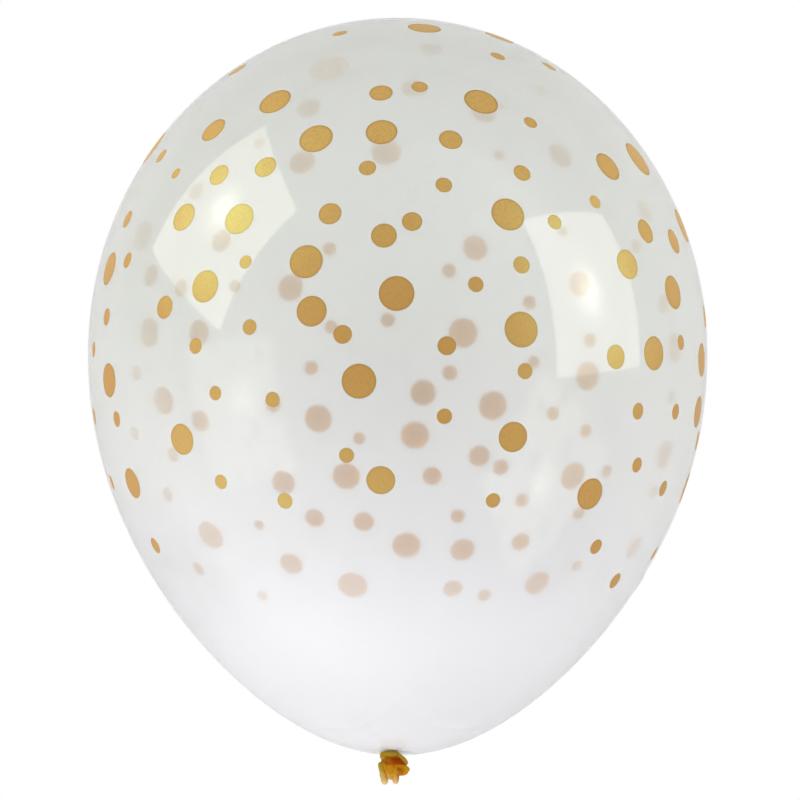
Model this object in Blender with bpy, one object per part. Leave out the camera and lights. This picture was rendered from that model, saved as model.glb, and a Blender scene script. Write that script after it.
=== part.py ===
"""A blown-up party balloon with its knotted neck, lying on its side on a small flat spot.

The balloon is built upright in its own frame and then laid down. In that frame Y runs along
its axis towards the crown, with 0 at the root of the neck, X is to the right and Z is to the front.
In the finished scene the crown is at +Y, the floor is at Z 0 and the front faces up.
All sizes are in metres.
"""

import math

import bmesh
import bpy
from mathutils import Matrix, Vector

# The blown-up body
BODY_DIAMETER = 0.300
CROWN_HEIGHT = 0.1635  # from the widest ring up to the crown, which is half an ellipse
FLANK_HEIGHT = 0.196  # from the widest ring down to the root of the neck
FLANK_TAPER = 0.18  # the share by which the flank is narrower than half an ellipse at its end
TAPER_POWER = 2.2  # how late along the flank that taper comes
FLAT_SPOT_RADIUS = 0.020  # what the balloon's weight and its pressure leave flat on the floor

# The neck, which leaves the body a little to the left of the axis
NECK_OFFSET = -0.0034
NECK_RADIUS = 0.0040
NECK_END_RADIUS = 0.0032
NECK_SUNK = 0.0040  # how far the neck runs up into the body

# The collar, which is the neck's upper turn, and the wrap of the knot under it
COLLAR_THICKNESS = 0.0036
COLLAR_SUNK = 0.0022  # how deep the collar is pulled into the neck
COLLAR_PRESS = 0.0017  # how far the collar is pulled up into the body
COLLAR_SLANT = math.radians(-9.0)
WRAP_THICKNESS = 0.0046
WRAP_SUNK = 0.0029
WRAP_SHIFT = 0.0014  # the wrap sits a little to the right of the neck
WRAP_SLANT = math.radians(-12.0)
TURN_OVERLAP = 0.0001  # how far the two turns press into each other
TURN_DEPTH_SHARE = 0.86  # the turns are flatter from front to back
FOLD_STAND_OUT = 0.0012  # the pinched bend at the right stands out of the wrap
FOLD_THICKNESS = 0.0030

# The tail, whose rim is bent into three lobes around a gathered middle
LOBE_FULLNESS = 3.0  # above 2 a lobe keeps its width nearly to its ends
LOBE_DEPTH = 0.0040
LEFT_LOBE_WIDTH = 0.0042
LEFT_LOBE_LENGTH = 0.0112
LEFT_LOBE_SPREAD = 0.0043  # from the neck's axis to the lobe's upper end
LEFT_LOBE_RISE = 0.0012  # how far up beside the wrap that end stands
LOWER_LOBE_WIDTH = 0.0036
LOWER_LOBE_LENGTH = 0.0074
RIGHT_LOBE_WIDTH = 0.0044
RIGHT_LOBE_LENGTH = 0.0100
TAIL_SUNK = 0.0016  # how far the tail's pieces start up inside the wrap
GATHER_LENGTH = 0.0068
GATHER_WIDTH = 0.0062
GATHER_DEPTH = 0.0040

# Heights below the root of the neck and reaches from its axis, which follow from the sizes above
COLLAR_DROP = COLLAR_THICKNESS / 2 - COLLAR_PRESS
COLLAR_REACH = NECK_RADIUS + COLLAR_THICKNESS - COLLAR_SUNK
WRAP_DROP = COLLAR_DROP + (COLLAR_THICKNESS + WRAP_THICKNESS) / 2 - TURN_OVERLAP
WRAP_REACH = NECK_RADIUS + WRAP_THICKNESS - WRAP_SUNK
FOLD_REACH = WRAP_REACH + FOLD_STAND_OUT
NECK_LENGTH = WRAP_DROP + WRAP_THICKNESS * 0.42
TAIL_START = WRAP_DROP + WRAP_THICKNESS / 2 - TAIL_SUNK

# How finely the shapes are cut
BODY_SEGMENTS = 60
CROWN_RINGS = 18
FLANK_RINGS = 22
FINE_RINGS = 1500  # the outline is this fine where its centre of mass is worked out
TUBE_SIDES = 12
RING_STEPS = 28
LOBE_STEPS = 12
MERGE_DISTANCE = 1e-6

FRONT = Vector((0, 0, 1))
AXIS = Vector((0, 1, 0))


def outline(crown_rings, flank_rings):
    """The body's outline as (radius, height) pairs, from the crown down to the root of the neck."""
    radius = BODY_DIAMETER / 2
    points = []
    for step in range(crown_rings):
        angle = math.pi / 2 * (1 - step / crown_rings)
        height = FLANK_HEIGHT + CROWN_HEIGHT * math.sin(angle)
        points.append((radius * math.cos(angle), height))
    for step in range(flank_rings + 1):
        angle = math.pi / 2 * step / flank_rings
        height = FLANK_HEIGHT * (1 - math.sin(angle))
        taper = 1 - FLANK_TAPER * math.sin(angle) ** TAPER_POWER
        points.append((radius * math.cos(angle) * taper, height))
    points[0] = (0.0, points[0][1])
    points[-1] = (0.0, 0.0)
    return points


def centre_height(points):
    """How high the centre of mass of the full outline stands over the root of the neck."""
    volume = 0.0
    moment = 0.0
    for (r_high, high), (r_low, low) in zip(points, points[1:]):
        slice_volume = (high - low) * (r_high**2 + r_high * r_low + r_low**2)
        volume += slice_volume
        moment += slice_volume * (high + low) / 2
    return moment / volume


def resting_place(points):
    """Where the flank touches a level floor when the centre of mass stands right over that place.

    Returns the outline's radius and height there and how far the axis is pitched up.
    """
    centre = centre_height(points)
    found = []
    for (r_high, high), (r_low, low) in zip(points, points[1:]):
        slope = (r_high - r_low) / (high - low)
        radius = (r_high + r_low) / 2
        height = (high + low) / 2
        normal_meets_axis = height + radius * slope
        found.append((abs(normal_meets_axis - centre), radius, height, slope))
    _, radius, height, slope = min(found)
    return radius, height, math.atan(slope)


def new_object(name, mesh_data):
    """A scene object made from a bmesh, which is freed."""
    bmesh.ops.remove_doubles(mesh_data, verts=mesh_data.verts, dist=MERGE_DISTANCE)
    bmesh.ops.recalc_face_normals(mesh_data, faces=mesh_data.faces)
    mesh = bpy.data.meshes.new(name)
    mesh_data.to_mesh(mesh)
    mesh_data.free()
    thing = bpy.data.objects.new(name, mesh)
    bpy.context.scene.collection.objects.link(thing)
    return thing


def build_body():
    """The body, turned from its outline around the Y axis."""
    turned = bmesh.new()
    points = outline(CROWN_RINGS, FLANK_RINGS)
    profile = [turned.verts.new((radius, height, 0)) for radius, height in points]
    edges = [turned.edges.new(pair) for pair in zip(profile, profile[1:])]
    bmesh.ops.spin(
        turned,
        geom=profile + edges,
        cent=(0, 0, 0),
        axis=AXIS,
        angle=math.tau,
        steps=BODY_SEGMENTS,
    )
    return new_object("balloon", turned)


def ring_of(tube, centre, side, depth, half_width, half_depth):
    """One oval ring of a tube's vertices."""
    ring = []
    for step in range(TUBE_SIDES):
        angle = math.tau * step / TUBE_SIDES
        out = side * (math.cos(angle) * half_width) + depth * (math.sin(angle) * half_depth)
        ring.append(tube.verts.new(centre + out))
    return ring


def bridge(tube, first, second):
    """Faces between two rings with the same number of vertices."""
    for here in range(len(first)):
        after = (here + 1) % len(first)
        tube.faces.new((first[here], first[after], second[after], second[here]))


def cap(tube, ring, tip):
    """A fan of faces from a ring to its tip."""
    for here in range(len(ring)):
        tube.faces.new((ring[here], ring[(here + 1) % len(ring)], tip))


def build_lobe(name, start, bend, end, width, depth):
    """A round-ended lobe along the smooth curve from start to end that leans towards bend."""
    tube = bmesh.new()
    rings = []
    for step in range(1, LOBE_STEPS):
        share = (1 - math.cos(math.pi * step / LOBE_STEPS)) / 2
        place = start * (1 - share) ** 2 + bend * (2 * share * (1 - share)) + end * share**2
        along = ((bend - start) * (1 - share) + (end - bend) * share).normalized()
        side = along.cross(FRONT).normalized()
        full = (1 - abs(2 * share - 1) ** LOBE_FULLNESS) ** (1 / LOBE_FULLNESS)
        rings.append(
            ring_of(tube, place, side, side.cross(along), width / 2 * full, depth / 2 * full)
        )
    for first, second in zip(rings, rings[1:]):
        bridge(tube, first, second)
    cap(tube, rings[0], tube.verts.new(start))
    cap(tube, rings[-1], tube.verts.new(end))
    return new_object(name, tube)


def build_turn(name, centre, reach, thickness, slant):
    """A fat ring round the neck, with its right side lower where slant is below 0."""
    tube = bmesh.new()
    lean = Matrix.Rotation(slant, 3, FRONT)
    half = thickness / 2
    rings = []
    for step in range(RING_STEPS):
        angle = math.tau * step / RING_STEPS
        out = Vector((math.cos(angle), 0, math.sin(angle)))
        place = out * (reach - half)
        place.z *= TURN_DEPTH_SHARE
        rings.append(ring_of(tube, centre + lean @ place, lean @ out, lean @ AXIS, half, half))
    for here in range(RING_STEPS):
        bridge(tube, rings[here], rings[(here + 1) % RING_STEPS])
    return new_object(name, tube)


def build_neck():
    """The neck, a slightly tapered plug from inside the body down to the lower side of the wrap."""
    plug = bmesh.new()
    side = AXIS.cross(FRONT)
    upper, lower = [
        ring_of(plug, Vector((NECK_OFFSET, height, 0)), side, FRONT, radius, radius)
        for height, radius in ((NECK_SUNK, NECK_RADIUS), (-NECK_LENGTH, NECK_END_RADIUS))
    ]
    bridge(plug, upper, lower)
    plug.faces.new(upper)
    plug.faces.new(lower)
    return new_object("neck", plug)


def build_knot():
    """The two turns of latex round the neck and the pinched bend at their right."""
    collar = build_turn(
        "collar", Vector((NECK_OFFSET, -COLLAR_DROP, 0)), COLLAR_REACH, COLLAR_THICKNESS, COLLAR_SLANT
    )
    wrap_centre = Vector((NECK_OFFSET + WRAP_SHIFT, -WRAP_DROP, 0))
    wrap = build_turn("wrap", wrap_centre, WRAP_REACH, WRAP_THICKNESS, WRAP_SLANT)
    fold = build_lobe(
        "fold",
        wrap_centre + Vector((0, WRAP_THICKNESS / 2, 0)),
        wrap_centre + Vector((FOLD_REACH * 0.8, WRAP_THICKNESS / 2, 0)),
        wrap_centre + Vector((FOLD_REACH, -FOLD_THICKNESS / 3, 0)),
        FOLD_THICKNESS,
        WRAP_THICKNESS,
    )
    return [collar, wrap, fold]


def build_tail():
    """The short end of the neck under the knot: its gathered middle and the lobes of its rim."""
    top = Vector((NECK_OFFSET, -TAIL_START, 0))
    gather = build_lobe(
        "gather",
        top + Vector((0, GATHER_DEPTH / 2, 0)),
        top + Vector((0, -GATHER_LENGTH / 2, LOBE_DEPTH / 4)),
        top + Vector((0, -GATHER_LENGTH, LOBE_DEPTH / 4)),
        GATHER_WIDTH,
        GATHER_DEPTH,
    )
    left_top = top + Vector((-LEFT_LOBE_SPREAD, LEFT_LOBE_RISE, LOBE_DEPTH / 3))
    left = build_lobe(
        "left_lobe",
        left_top,
        left_top + Vector((-LEFT_LOBE_WIDTH * 0.45, -LEFT_LOBE_LENGTH * 0.35, LOBE_DEPTH / 4)),
        left_top + Vector((LEFT_LOBE_WIDTH * 0.2, -LEFT_LOBE_LENGTH, 0)),
        LEFT_LOBE_WIDTH,
        LOBE_DEPTH,
    )
    lower_top = top + Vector((LOWER_LOBE_WIDTH * 0.55, -RIGHT_LOBE_WIDTH * 0.4, LOBE_DEPTH / 5))
    lower = build_lobe(
        "lower_lobe",
        lower_top,
        lower_top + Vector((0, -LOWER_LOBE_LENGTH / 2, 0)),
        lower_top + Vector((0, -LOWER_LOBE_LENGTH, 0)),
        LOWER_LOBE_WIDTH,
        LOBE_DEPTH,
    )
    right_start = top + Vector((-NECK_RADIUS * 0.2, -RIGHT_LOBE_WIDTH * 0.7, LOBE_DEPTH / 3))
    right = build_lobe(
        "right_lobe",
        right_start,
        right_start + Vector((RIGHT_LOBE_LENGTH / 2, -RIGHT_LOBE_WIDTH * 0.2, 0)),
        right_start + Vector((RIGHT_LOBE_LENGTH, RIGHT_LOBE_WIDTH * 0.15, 0)),
        RIGHT_LOBE_WIDTH,
        LOBE_DEPTH,
    )
    return [gather, left, lower, right]


def lying_matrix(pieces):
    """Lays the balloon down, with its flat spot's plane at Z 0 and its box centred on X 0 and Y 0."""
    radius, height, pitch = resting_place(outline(FINE_RINGS, FINE_RINGS))
    lay = Matrix.Rotation(pitch, 4, "X")
    lowest = (lay @ Vector((0, height, -radius))).z
    to_axis = radius / math.cos(pitch)
    flat_depth = to_axis - math.sqrt(to_axis**2 - FLAT_SPOT_RADIUS**2)
    corners = [lay @ vertex.co for piece in pieces for vertex in piece.data.vertices]
    middle_x = (min(c.x for c in corners) + max(c.x for c in corners)) / 2
    middle_y = (min(c.y for c in corners) + max(c.y for c in corners)) / 2
    return Matrix.Translation((-middle_x, -middle_y, -lowest - flat_depth)) @ lay


def cut_flat_spot(balloon):
    """Cuts the lying body off at the floor and closes the cut with one flat face."""
    solid = bmesh.new()
    solid.from_mesh(balloon.data)
    cut = bmesh.ops.bisect_plane(
        solid,
        geom=solid.verts[:] + solid.edges[:] + solid.faces[:],
        dist=MERGE_DISTANCE,
        plane_co=(0, 0, 0),
        plane_no=(0, 0, -1),
        clear_outer=True,
    )
    rim = [part for part in cut["geom_cut"] if isinstance(part, bmesh.types.BMEdge)]
    bmesh.ops.contextual_create(solid, geom=rim)
    solid.to_mesh(balloon.data)
    solid.free()


def join_to(balloon, pieces):
    """Fuses the neck, the knot and the tail with the body, as the one piece of latex they are."""
    for piece in pieces:
        piece.hide_render = True
        piece.display_type = "WIRE"
        union = balloon.modifiers.new(f"with_{piece.name}", "BOOLEAN")
        union.operation = "UNION"
        union.solver = "MANIFOLD"
        union.object = piece


def clear_latex():
    """Thin, slightly milky clear latex."""
    material = bpy.data.materials.new("clear_latex")
    material.use_nodes = True
    shader = material.node_tree.nodes["Principled BSDF"]
    shader.inputs["Base Color"].default_value = (0.86, 0.87, 0.86, 1.0)
    shader.inputs["Roughness"].default_value = 0.12
    shader.inputs["Metallic"].default_value = 0.0
    shader.inputs["Transmission Weight"].default_value = 0.4
    return material


def main():
    """Clears the scene and builds the balloon."""
    for old in list(bpy.data.objects):
        bpy.data.objects.remove(old)
    balloon = build_body()
    knotted = [build_neck()] + build_knot() + build_tail()
    lying = lying_matrix([balloon] + knotted)
    for piece in [balloon] + knotted:
        piece.data.transform(lying)
    cut_flat_spot(balloon)
    balloon.data.shade_smooth()
    balloon.data.materials.append(clear_latex())
    join_to(balloon, knotted)


main()
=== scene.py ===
"""A clear party balloon with a gold confetti print, dressed for its picture.

The balloon lies on the small flat spot of its flank. It is worked out upright, in a frame where Y
runs along its axis from the root of the neck to the crown, X is to the right and Z is to the front,
and then laid down with its front facing up. All lengths are in metres.
"""

import logging
import math
from dataclasses import dataclass
from enum import Enum
from typing import Any

import bmesh
import bpy
import numpy as np
from mathutils import Matrix, Vector
from mathutils.bvhtree import BVHTree


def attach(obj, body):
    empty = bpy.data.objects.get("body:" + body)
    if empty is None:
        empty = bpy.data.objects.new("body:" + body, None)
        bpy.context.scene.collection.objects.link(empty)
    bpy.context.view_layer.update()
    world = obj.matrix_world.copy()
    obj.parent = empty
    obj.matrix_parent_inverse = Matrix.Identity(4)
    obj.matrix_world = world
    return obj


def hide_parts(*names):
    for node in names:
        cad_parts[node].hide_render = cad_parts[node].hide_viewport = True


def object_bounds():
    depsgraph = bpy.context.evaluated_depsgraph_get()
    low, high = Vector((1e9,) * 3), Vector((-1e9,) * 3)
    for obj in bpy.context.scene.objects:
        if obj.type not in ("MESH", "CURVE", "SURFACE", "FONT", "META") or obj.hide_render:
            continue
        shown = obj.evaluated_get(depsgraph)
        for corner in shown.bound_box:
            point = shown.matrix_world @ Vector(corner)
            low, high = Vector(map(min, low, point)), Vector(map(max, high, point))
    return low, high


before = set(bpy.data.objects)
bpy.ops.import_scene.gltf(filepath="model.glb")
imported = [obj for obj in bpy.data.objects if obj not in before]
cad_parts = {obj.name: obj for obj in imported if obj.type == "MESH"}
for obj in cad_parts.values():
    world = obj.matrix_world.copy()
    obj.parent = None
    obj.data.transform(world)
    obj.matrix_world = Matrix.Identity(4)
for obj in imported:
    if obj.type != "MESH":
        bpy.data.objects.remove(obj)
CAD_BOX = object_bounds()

LOG = logging.getLogger("balloon")
BODY = "root"
CAD_NODE = "balloon"
PICTURE_SIDE = 800  # the photograph is this many pixels wide and high
MM = 1000  # millimetres in a metre
POWER_SHARE = 4  # a lamp's power in watts for each square metre, at a radiance of 1

Colour = tuple[float, float, float]
Place = tuple[float, float, float]
Span = tuple[float, float]
Spot = tuple[Vector, Vector, float]
Socket = bpy.types.NodeSocket


class Slot(Enum):
    """The material slots that the pieces take their finishes from."""

    SKIN = "clear_latex"
    PRINT = "gold_ink"
    KNOT = "amber_latex"


class Side(Enum):
    """Which wall of the balloon a printed dot is on, seen from the camera."""

    NEAR = "near"
    FAR = "far"


class Wiring:
    """Adds nodes to one tree and joins them."""

    def __init__(self, tree: bpy.types.NodeTree) -> None:
        """Works on an existing tree."""
        self.tree = tree

    def feed(self, node: bpy.types.Node, inputs: dict[Any, Any]) -> None:
        """Gives a node its inputs.

        Args:
            node: The node.
            inputs: For each input, by name or number, a plain value or the socket that feeds it.
        """
        for key, value in inputs.items():
            socket = node.inputs[key]
            if isinstance(value, Socket):
                self.tree.links.new(value, socket)
            else:
                socket.default_value = (*value, 1) if socket.type == "RGBA" else value

    def node(self, kind: str, inputs: dict[Any, Any] | None = None, **settings: Any) -> bpy.types.Node:
        """Adds one node.

        Args:
            kind: The node's type name.
            inputs: Its inputs, as feed takes them.
            **settings: The node's own settings.

        Returns:
            The new node.
        """
        made = self.tree.nodes.new(kind)
        for name, value in settings.items():
            setattr(made, name, value)
        self.feed(made, inputs or {})
        return made

    def out(self, kind: str, inputs: dict[Any, Any] | None = None, **settings: Any) -> Socket:
        """Adds one node and gives its first output."""
        return self.node(kind, inputs, **settings).outputs[0]

    def math(self, operation: str, *values: Any) -> Socket:
        """Adds a sum of numbers, each plain or from a socket."""
        return self.out("ShaderNodeMath", dict(enumerate(values)), operation=operation)

    def vector(self, operation: str, *values: Any) -> Socket:
        """Adds a sum of triples, each plain or from a socket, that gives a triple."""
        return self.out("ShaderNodeVectorMath", dict(enumerate(values)), operation=operation)

    def measure(self, operation: str, *values: Any) -> Socket:
        """Adds a sum of triples, each plain or from a socket, that gives a number."""
        inputs = dict(enumerate(values))
        return self.node("ShaderNodeVectorMath", inputs, operation=operation).outputs[1]

    def scaled(self, vector: Socket, scale: Any) -> Socket:
        """Adds the product of a triple and a number."""
        return self.out("ShaderNodeVectorMath", {0: vector, "Scale": scale}, operation="SCALE")

    def split(self, vector: Socket) -> list[Socket]:
        """Adds the three parts of a triple."""
        return list(self.node("ShaderNodeSeparateXYZ", {0: vector}).outputs)

    def join(self, x: Any, y: Any, z: Any) -> Socket:
        """Adds a triple from its three parts."""
        return self.out("ShaderNodeCombineXYZ", {0: x, 1: y, 2: z})

    def blend(self, share: Any, first: Any, second: Any) -> Socket:
        """Adds a mix of two colours, with the share that the second one has."""
        inputs = {0: share, 6: first, 7: second}
        return self.node("ShaderNodeMix", inputs, data_type="RGBA").outputs[2]

    def ramp(
        self, value: Socket, low: Any, high: Any, start: Any = 0.0, full: Any = 1.0, smooth: bool = True
    ) -> Socket:
        """Adds a rise, or a fall, from one level to another.

        Args:
            value: What the level follows.
            low: Its value where the level starts to change.
            high: Its value where the level is reached.
            start: The level below that stretch.
            full: The level above it.
            smooth: Whether the change eases in and out.

        Returns:
            The socket with the level.
        """
        inputs = {"Value": value, "From Min": low, "From Max": high, "To Min": start, "To Max": full}
        kind = "SMOOTHSTEP" if smooth else "LINEAR"
        return self.out("ShaderNodeMapRange", inputs, interpolation_type=kind)

    def bell(self, distance: Socket, reach: Any) -> Socket:
        """Adds a bell-shaped share, 1 at no distance and small past the reach."""
        square = self.math("POWER", self.math("DIVIDE", distance, reach), 2.0)
        return self.math("EXPONENT", self.math("MULTIPLY", square, -1.0))

    def painted(self, name: str) -> Socket:
        """Reads a mesh attribute in a material."""
        return self.node("ShaderNodeAttribute", attribute_name=name).outputs["Fac"]

    def stored(self, name: str, kind: str = "FLOAT") -> Socket:
        """Reads a mesh attribute in a Geometry Nodes tree."""
        return self.out("GeometryNodeInputNamedAttribute", {"Name": name}, data_type=kind)

    def store(
        self, geometry: Socket, name: str, value: Socket, kind: str = "FLOAT", domain: str = "POINT"
    ) -> Socket:
        """Stores a mesh attribute, and gives the geometry that has it."""
        inputs = {"Geometry": geometry, "Name": name, "Value": value}
        return self.out("GeometryNodeStoreNamedAttribute", inputs, data_type=kind, domain=domain)

    def lifted(self, geometry: Socket, height: Any) -> Socket:
        """Moves a face outward along its normals."""
        offset = self.scaled(self.out("GeometryNodeInputNormal"), height)
        return self.out("GeometryNodeSetPosition", {"Geometry": geometry, "Offset": offset})

    def sheet(self, under: Socket, upper: Socket) -> Socket:
        """Joins the two faces of a sheet.

        Args:
            under: The lower or inner face, which still looks outward.
            upper: The upper or outer face.

        Returns:
            The socket with both, each looking away from the other.
        """
        turned = self.out("GeometryNodeFlipFaces", {"Mesh": under})
        both = self.node("GeometryNodeJoinGeometry", {0: turned})
        self.feed(both, {0: upper})
        return both.outputs[0]


@dataclass(frozen=True)
class BalloonForm:
    """The blown-up body: half an ellipse over its widest ring and a tapered half under it."""

    diameter: float = 0.300
    crown_height: float = 0.1635
    flank_height: float = 0.196
    flank_taper: float = 0.18
    taper_power: float = 2.2
    neck_offset: float = -0.0034
    fine_rings: int = 1500

    def outline(self) -> list[tuple[float, float]]:
        """Works out the body's outline, from the crown down to the root of the neck.

        Returns:
            Pairs of the distance from the axis and the height above the root.
        """
        radius = self.diameter / 2
        points = []
        for step in range(-self.fine_rings, self.fine_rings + 1):
            angle = math.pi / 2 * step / self.fine_rings
            below = max(math.sin(angle), 0.0)
            taper = 1 - self.flank_taper * below**self.taper_power
            reach = self.flank_height if angle > 0 else self.crown_height
            height = self.flank_height - reach * math.sin(angle)
            points.append((radius * math.cos(angle) * taper, height))
        return points

    def pitch(self) -> float:
        """Works out how far the axis points up when the balloon rests in balance.

        Returns:
            The angle in radians between the axis and the floor.
        """
        points = self.outline()
        volume = moment = 0.0
        for (r_high, high), (r_low, low) in zip(points, points[1:]):
            part = (high - low) * (r_high**2 + r_high * r_low + r_low**2)
            volume += part
            moment += part * (high + low) / 2
        centre = moment / volume
        found = []
        for (r_high, high), (r_low, low) in zip(points, points[1:]):
            slope = (r_high - r_low) / (high - low)
            meets_axis = (high + low) / 2 + (r_high + r_low) / 2 * slope
            found.append((abs(meets_axis - centre), math.atan(slope)))
        return min(found)[1]

    def lying(self, lowest: Vector, highest: Vector) -> Matrix:
        """Lays the balloon down where the solid model has it.

        Args:
            lowest: The solid model's lowest corner.
            highest: Its highest corner.

        Returns:
            The matrix from the upright frame to the scene.
        """
        turn = Matrix.Rotation(self.pitch(), 4, "X")
        down = [turn @ Vector((0, height, -radius)) for radius, height in self.outline()]
        up = [turn @ Vector((0, height, radius)) for radius, height in self.outline()]
        shift = highest.y - max(point.y for point in down + up)
        lift = highest.z - max(point.z for point in up)
        return Matrix.Translation(((lowest.x + highest.x) / 2, shift, lift)) @ turn

    def widest(self) -> Vector:
        """Gives the centre of the widest ring, in the upright frame."""
        return Vector((0, self.flank_height, 0))


@dataclass(frozen=True)
class PhotoView:
    """The camera that looks down on the lying balloon as the photograph looks at it."""

    elevation: float = math.radians(68.1)
    distance: float = 2.5
    focal_length: float = 0.232
    sensor: float = 0.036
    aim_below: float = 0.0226
    aim_right: float = 0.0011
    farthest: float = 50.0

    def back(self) -> Vector:
        """Gives the direction from the balloon to the camera."""
        return Vector((0, -math.cos(self.elevation), math.sin(self.elevation)))

    def up(self) -> Vector:
        """Gives the picture's upward direction."""
        return Vector((0, math.sin(self.elevation), math.cos(self.elevation)))

    def place(self, widest: Vector) -> Vector:
        """Gives the lens's place, for a balloon with its widest ring centred here."""
        aim = widest - self.up() * self.aim_below + Vector((self.aim_right, 0, 0))
        return aim + self.back() * self.distance

    def ray(self, column: float, row: float) -> Vector:
        """Gives the direction from the lens through a point of the picture.

        Args:
            column: Pixels from the picture's left edge.
            row: Pixels from its top edge.

        Returns:
            A vector whose part along the line of sight is 1 long.
        """
        side = self.sensor / self.focal_length
        across = (column / PICTURE_SIDE - 0.5) * side
        above = (0.5 - row / PICTURE_SIDE) * side
        return -self.back() + Vector((across, 0, 0)) + self.up() * above

    def build(self, widest: Vector) -> bpy.types.Object:
        """Makes the camera and hands it to the scene.

        Args:
            widest: The centre of the widest ring, in the scene.

        Returns:
            The camera object.
        """
        lens = bpy.data.cameras.new("camera")
        lens.lens = self.focal_length * MM
        lens.sensor_width = self.sensor * MM
        lens.clip_end = self.farthest
        camera = new_object("camera", lens)
        camera.location = self.place(widest)
        camera.rotation_mode = "QUATERNION"
        camera.rotation_quaternion = (-self.back()).to_track_quat("-Z", "Y")
        bpy.context.scene.camera = camera
        return camera


def new_object(name: str, data: bpy.types.ID) -> bpy.types.Object:
    """Links a new object to the scene.

    Args:
        name: Its name.
        data: Its mesh, lamp or camera.

    Returns:
        The object, at the origin.
    """
    thing = bpy.data.objects.new(name, data)
    bpy.context.scene.collection.objects.link(thing)
    return thing


def settle(thing: bpy.types.Object) -> None:
    """Keeps what an object's modifiers make as its plain mesh, and removes them.

    Args:
        thing: The object.
    """
    bpy.context.view_layer.update()
    graph = bpy.context.evaluated_depsgraph_get()
    plain = bpy.data.meshes.new_from_object(thing.evaluated_get(graph), depsgraph=graph)
    thing.modifiers.clear()
    thing.data = plain
    plain.name = thing.name


class GeometryRecipe:
    """A Geometry Nodes tree with named inputs, which is run once on a mesh and leaves a plain one."""

    SOCKETS = {
        float: "NodeSocketFloat",
        int: "NodeSocketInt",
        bpy.types.Material: "NodeSocketMaterial",
        bpy.types.Object: "NodeSocketObject",
    }

    def __init__(self, name: str, inputs: dict[str, Any]) -> None:
        """Starts a tree.

        Args:
            name: The tree's name.
            inputs: The value of each named input, which also gives its kind.
        """
        self.inputs = inputs
        self.tree = bpy.data.node_groups.new(name, "GeometryNodeTree")
        face = self.tree.interface
        face.new_socket("Geometry", in_out="INPUT", socket_type="NodeSocketGeometry")
        for label, value in inputs.items():
            face.new_socket(label, in_out="INPUT", socket_type=self.SOCKETS[type(value)])
        face.new_socket("Geometry", in_out="OUTPUT", socket_type="NodeSocketGeometry")
        self.wiring = Wiring(self.tree)
        self.start = self.wiring.node("NodeGroupInput").outputs

    def finish(self, geometry: Socket) -> None:
        """Ends the tree with real geometry, and with its material where it has an input for one.

        Args:
            geometry: The socket that the tree has built so far.
        """
        made = self.wiring.out("GeometryNodeRealizeInstances", {0: geometry})
        if "Finish" in self.inputs:
            inputs = {"Geometry": made, "Material": self.start["Finish"]}
            made = self.wiring.out("GeometryNodeSetMaterial", inputs)
        self.wiring.node("NodeGroupOutput", {0: made})

    def run(self, name: str, mesh: bpy.types.Mesh) -> bpy.types.Object:
        """Runs the tree and keeps its result as a plain mesh object.

        Args:
            name: The new object's name.
            mesh: The mesh that the tree starts from.

        Returns:
            The object, at the origin and with no modifier.
        """
        thing = new_object(name, mesh)
        modifier = thing.modifiers.new(self.tree.name, "NODES")
        modifier.node_group = self.tree
        for item in self.tree.interface.items_tree:
            if item.in_out == "INPUT" and item.name in self.inputs:
                modifier[item.identifier] = self.inputs[item.name]
        settle(thing)
        return thing


class NeckShare:
    """How far the latex thickens toward the neck, a node group that both finishes of the skin use."""

    NAME = "toward the neck"

    @classmethod
    def group(cls) -> bpy.types.NodeTree:
        """Builds the group, or finds it when it is there.

        Returns:
            The group, which reads the skin's own toward_neck attribute.
        """
        if cls.NAME in bpy.data.node_groups:
            return bpy.data.node_groups[cls.NAME]
        made = bpy.data.node_groups.new(cls.NAME, "ShaderNodeTree")
        for label in ("Start", "Full", "Most"):
            made.interface.new_socket(label, in_out="INPUT", socket_type="NodeSocketFloat")
        made.interface.new_socket("Share", in_out="OUTPUT", socket_type="NodeSocketFloat")
        wiring = Wiring(made)
        given = wiring.node("NodeGroupInput").outputs
        toward = wiring.painted("toward_neck")
        share = wiring.ramp(toward, given["Start"], given["Full"], full=given["Most"])
        wiring.node("NodeGroupOutput", {0: share})
        return made

    @classmethod
    def add(cls, wiring: Wiring, start: float, full: float, most: float = 1.0) -> Socket:
        """Places the group in a material.

        Args:
            wiring: The material's tree.
            start: Where the thickening starts, from 0 at the crown to 1 at the neck.
            full: Where it is full.
            most: The share there.

        Returns:
            The socket with the share.
        """
        values = {"Start": start, "Full": full, "Most": most}
        return wiring.out("ShaderNodeGroup", values, node_tree=cls.group())


class Finish:
    """One of the balloon's finishes, which works out the inputs of its own shader."""

    NAME = ""

    def look(self, wiring: Wiring) -> dict[str, Any]:
        """Works out the shader's inputs, each plain or from a socket."""
        raise NotImplementedError

    def build(self) -> bpy.types.Material:
        """Makes the material.

        Returns:
            The material, with the finish's own look.
        """
        material = bpy.data.materials.new(self.NAME)
        material.use_nodes = True
        wiring = Wiring(material.node_tree)
        wiring.feed(material.node_tree.nodes["Principled BSDF"], self.look(wiring))
        return material


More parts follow.
